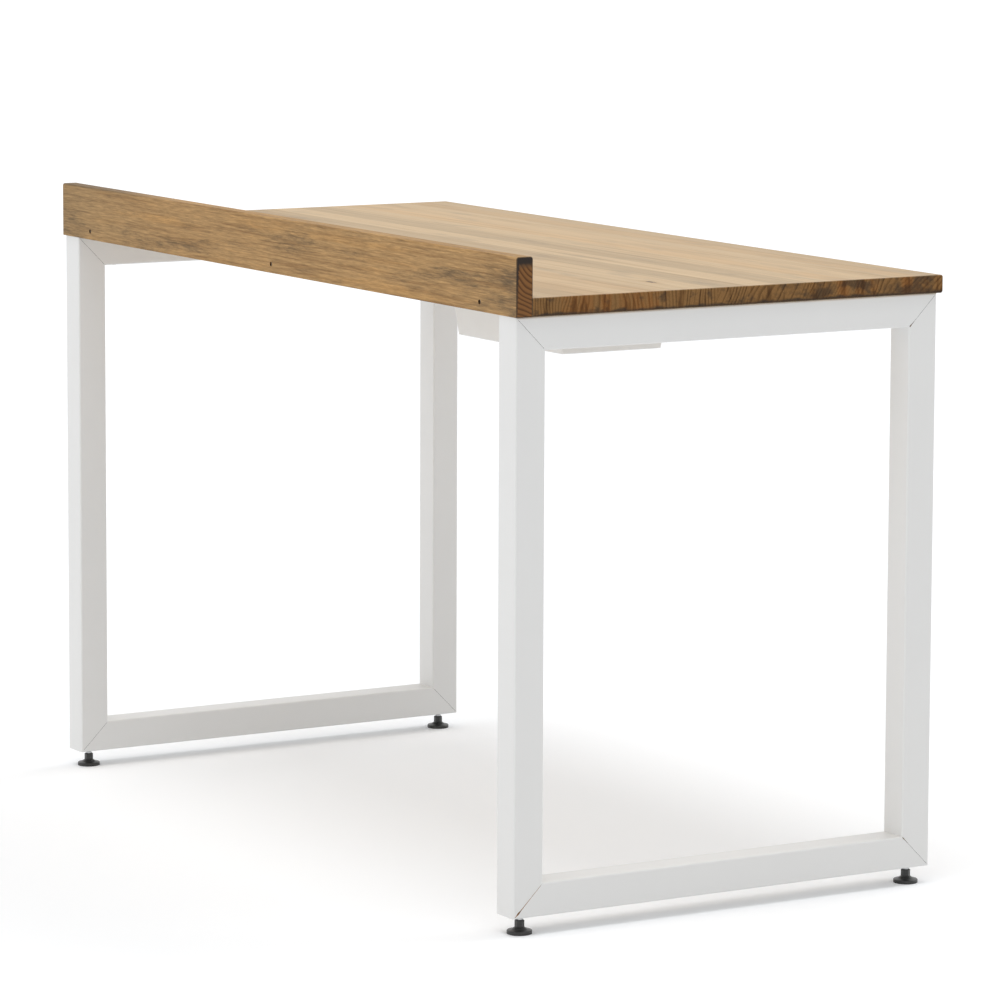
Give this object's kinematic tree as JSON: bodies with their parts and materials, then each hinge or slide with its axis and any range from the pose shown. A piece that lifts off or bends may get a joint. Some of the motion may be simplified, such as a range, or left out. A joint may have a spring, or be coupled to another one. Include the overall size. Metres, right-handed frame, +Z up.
{
  "type": "writing desk",
  "caption": "Sitting-height desk with a solid pine top, an upstand board at the rear, closed white square-tube end frames on levelling feet and a small drawer under the top.",
  "frame": {"origin": "on the floor under the middle of the desk", "axes": "+X to the right of a person sitting at the desk, +Y to the rear, where the upstand board is, +Z up"},
  "size_m": [1.2, 0.6, 0.798],
  "materials": {
    "pine": "oiled, satin",
    "stained_pine": "stained and weathered, matt",
    "white_paint": "powder coated, satin",
    "white_runner": "powder coated, satin",
    "white_plastic": "moulded, fine grain",
    "black_nylon": "moulded, matt",
    "zinc": "zinc plated",
    "screw_steel": "plated, slightly tarnished"
  },
  "bodies": {
    "frame": {"top_panel": "pine", "rear_board": "stained_pine", "left_front_upright": "white_paint", "left_rear_upright": "white_paint", "left_bottom_bar": "white_paint", "left_top_bar": "white_paint", "right_front_upright": "white_paint", "right_rear_upright": "white_paint", "right_bottom_bar": "white_paint", "right_top_bar": "white_paint", "left_front_foot_insert": "zinc", "left_rear_foot_insert": "zinc", "right_front_foot_insert": "zinc", "right_rear_foot_insert": "zinc", "left_drawer_runner": "white_runner", "right_drawer_runner": "white_runner", "top_screws": "screw_steel", "board_screws": "screw_steel", "runner_screws": "screw_steel"},
    "drawer": {"drawer_tray": "white_plastic"},
    "left_front_foot_pad": {"left_front_foot_pad": "black_nylon"},
    "left_front_foot_screw": {"left_front_foot_hexagon": "black_nylon", "left_front_foot_stud": "zinc"},
    "left_rear_foot_pad": {"left_rear_foot_pad": "black_nylon"},
    "left_rear_foot_screw": {"left_rear_foot_hexagon": "black_nylon", "left_rear_foot_stud": "zinc"},
    "right_front_foot_pad": {"right_front_foot_pad": "black_nylon"},
    "right_front_foot_screw": {"right_front_foot_hexagon": "black_nylon", "right_front_foot_stud": "zinc"},
    "right_rear_foot_pad": {"right_rear_foot_pad": "black_nylon"},
    "right_rear_foot_screw": {"right_rear_foot_hexagon": "black_nylon", "right_rear_foot_stud": "zinc"}
  },
  "joints": [
    {"name": "drawer_slide", "type": "slide", "parent": "frame", "child": "drawer", "axis": [0, -1, 0], "range_m": [0, 0.185]},
    {"name": "left_front_foot_height", "type": "slide", "parent": "frame", "child": "left_front_foot_pad", "axis": [0, 0, -1], "range_m": [-0.0038, 0.01]},
    {"name": "left_front_foot_turn", "type": "hinge", "parent": "left_front_foot_pad", "child": "left_front_foot_screw", "pos_m": [-0.576, -0.274, 0.012], "axis": [0, 0, -1], "range_deg": [-1095, 2881]},
    {"name": "left_rear_foot_height", "type": "slide", "parent": "frame", "child": "left_rear_foot_pad", "axis": [0, 0, -1], "range_m": [-0.0038, 0.01]},
    {"name": "left_rear_foot_turn", "type": "hinge", "parent": "left_rear_foot_pad", "child": "left_rear_foot_screw", "pos_m": [-0.576, 0.278, 0.012], "axis": [0, 0, -1], "range_deg": [-1095, 2881]},
    {"name": "right_front_foot_height", "type": "slide", "parent": "frame", "child": "right_front_foot_pad", "axis": [0, 0, -1], "range_m": [-0.0038, 0.01]},
    {"name": "right_front_foot_turn", "type": "hinge", "parent": "right_front_foot_pad", "child": "right_front_foot_screw", "pos_m": [0.576, -0.274, 0.012], "axis": [0, 0, -1], "range_deg": [-1095, 2881]},
    {"name": "right_rear_foot_height", "type": "slide", "parent": "frame", "child": "right_rear_foot_pad", "axis": [0, 0, -1], "range_m": [-0.0038, 0.01]},
    {"name": "right_rear_foot_turn", "type": "hinge", "parent": "right_rear_foot_pad", "child": "right_rear_foot_screw", "pos_m": [0.576, 0.278, 0.012], "axis": [0, 0, -1], "range_deg": [-1095, 2881]}
  ],
  "couplings": [
    {"joint": "left_front_foot_turn", "follows": "left_front_foot_height", "rad_per_m": 5026.5},
    {"joint": "left_rear_foot_turn", "follows": "left_rear_foot_height", "rad_per_m": 5026.5},
    {"joint": "right_front_foot_turn", "follows": "right_front_foot_height", "rad_per_m": 5026.5},
    {"joint": "right_rear_foot_turn", "follows": "right_rear_foot_height", "rad_per_m": 5026.5}
  ]
}
